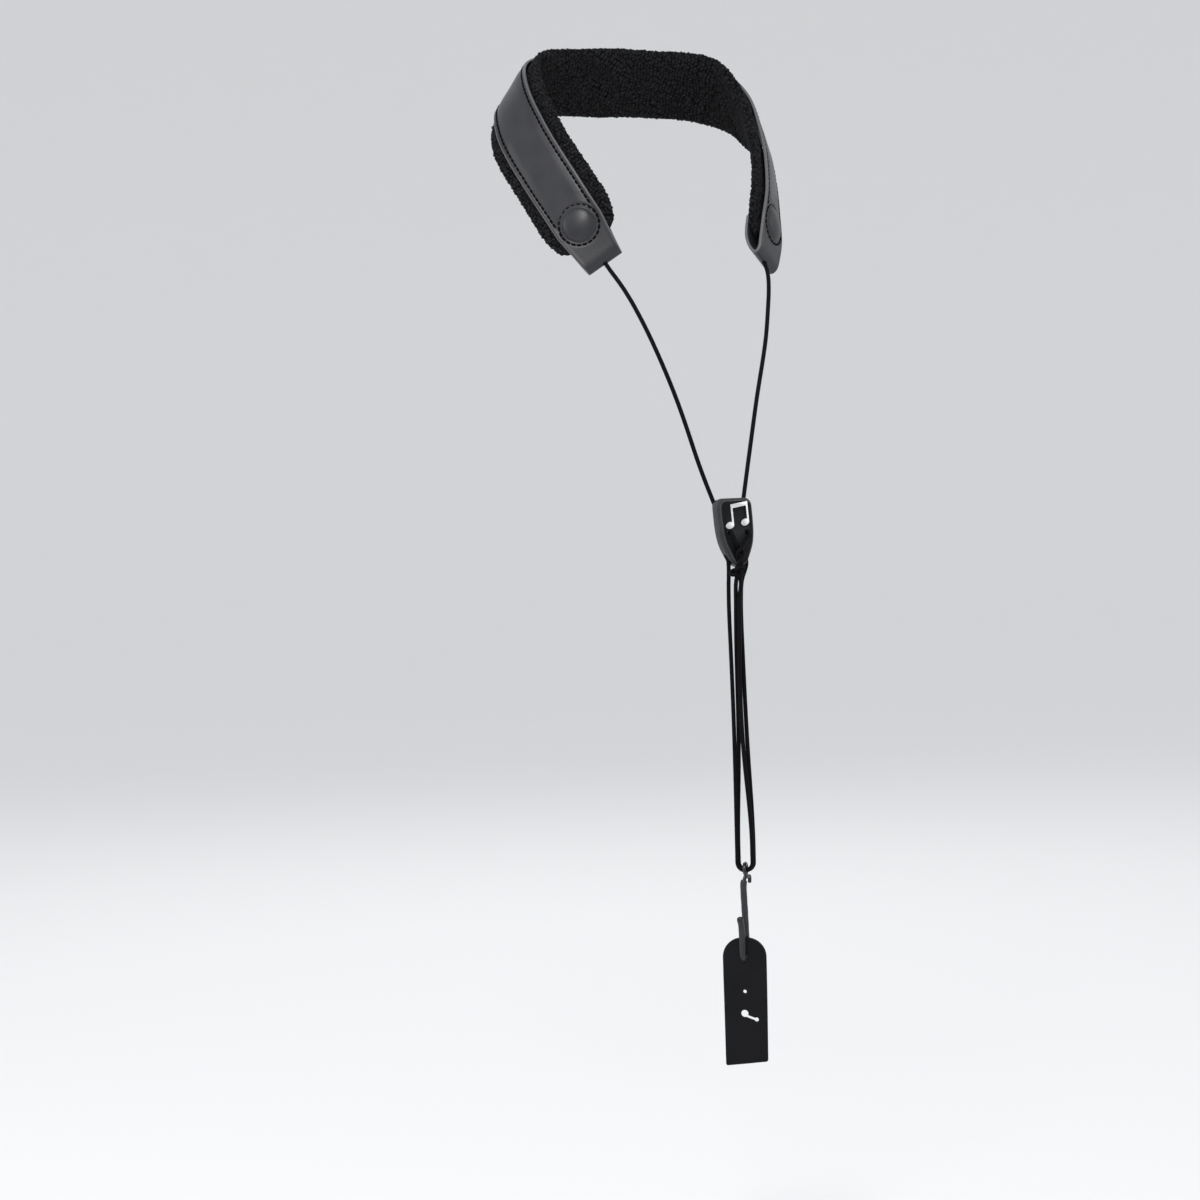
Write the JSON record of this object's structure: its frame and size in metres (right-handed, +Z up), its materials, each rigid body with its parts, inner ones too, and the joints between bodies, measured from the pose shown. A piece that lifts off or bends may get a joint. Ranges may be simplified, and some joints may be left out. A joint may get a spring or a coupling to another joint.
{
  "type": "neck strap for a clarinet or light saxophone",
  "caption": "Instrument neck strap: terry-padded leather band with domed ends, paired black cords, shield-shaped plastic adjuster, covered hook and leather thumb-rest tab.",
  "frame": {"origin": "on the axis of the wearer's neck, level with the two ends of the band where the cords leave it", "axes": "+Z up along the neck, +X to the wearer's left, -Y to the front, where the adjuster and hook hang"},
  "size_m": [0.1884, 0.1703, 0.6154],
  "materials": {
    "leather": "satin smooth leather, dark grey",
    "tab_leather": "matt black leather",
    "terry": "looped black terry cloth",
    "foam": "soft foam, matt",
    "board": "stiff disc, matt",
    "thread": "black sewing thread",
    "cord": "black round cord, slight sheen",
    "plastic": "moulded, fine matt texture",
    "silver": "bright plated",
    "steel": "plain wire",
    "sleeve": "dark tubing, satin"
  },
  "bodies": {
    "neck_band": {"leather_strap": "leather", "terry_sleeve": "terry", "foam_core": "foam", "left_boss_disc": "board", "right_boss_disc": "board", "left_boss_thread": "thread", "right_boss_thread": "thread", "upper_seam_thread": "thread", "lower_seam_thread": "thread", "left_stop_knot": "cord", "right_stop_knot": "cord", "left_upper_cord": "cord", "right_upper_cord": "cord"},
    "adjuster": {"adjuster_body": "plastic", "adjuster_badge": "silver", "left_guide_strand": "cord", "right_guide_strand": "cord", "left_front_strand": "cord", "right_front_strand": "cord", "left_tail_knot": "cord", "right_tail_knot": "cord", "tie_knot": "cord", "left_down_strand": "cord", "right_down_strand": "cord", "left_return_strand": "cord", "right_return_strand": "cord"},
    "cord_loop": {"left_cord_bight": "cord", "right_cord_bight": "cord"},
    "hook": {"hook_wire": "steel", "hook_sleeve": "sleeve"},
    "tab": {"leather_tab": "tab_leather"}
  },
  "joints": [
    {"name": "adjuster_slide", "type": "slide", "parent": "neck_band", "child": "adjuster", "axis": [0, 0.3057, 0.9521], "range_m": [-0.27, 0.075], "deforming": ["left_upper_cord", "right_upper_cord"]},
    {"name": "loop_slide", "type": "slide", "parent": "adjuster", "child": "cord_loop", "axis": [0, 0, 1], "range_m": [-0.04, 0.14], "deforming": ["left_down_strand", "right_down_strand", "left_return_strand", "right_return_strand"]},
    {"name": "hook_swing", "type": "hinge", "parent": "cord_loop", "child": "hook", "pos_m": [0, -0.0885, -0.3612], "axis": [0.6691, -0.7431, 0], "range_deg": [-40, 40]},
    {"name": "tab_swing", "type": "hinge", "parent": "hook", "child": "tab", "pos_m": [-0.0008, -0.08761, -0.414], "axis": [0.6157, 0.788, 0], "range_deg": [-60, 60]}
  ],
  "couplings": [
    {"joint": "loop_slide", "follows": "adjuster_slide", "ratio": -0.5}
  ]
}
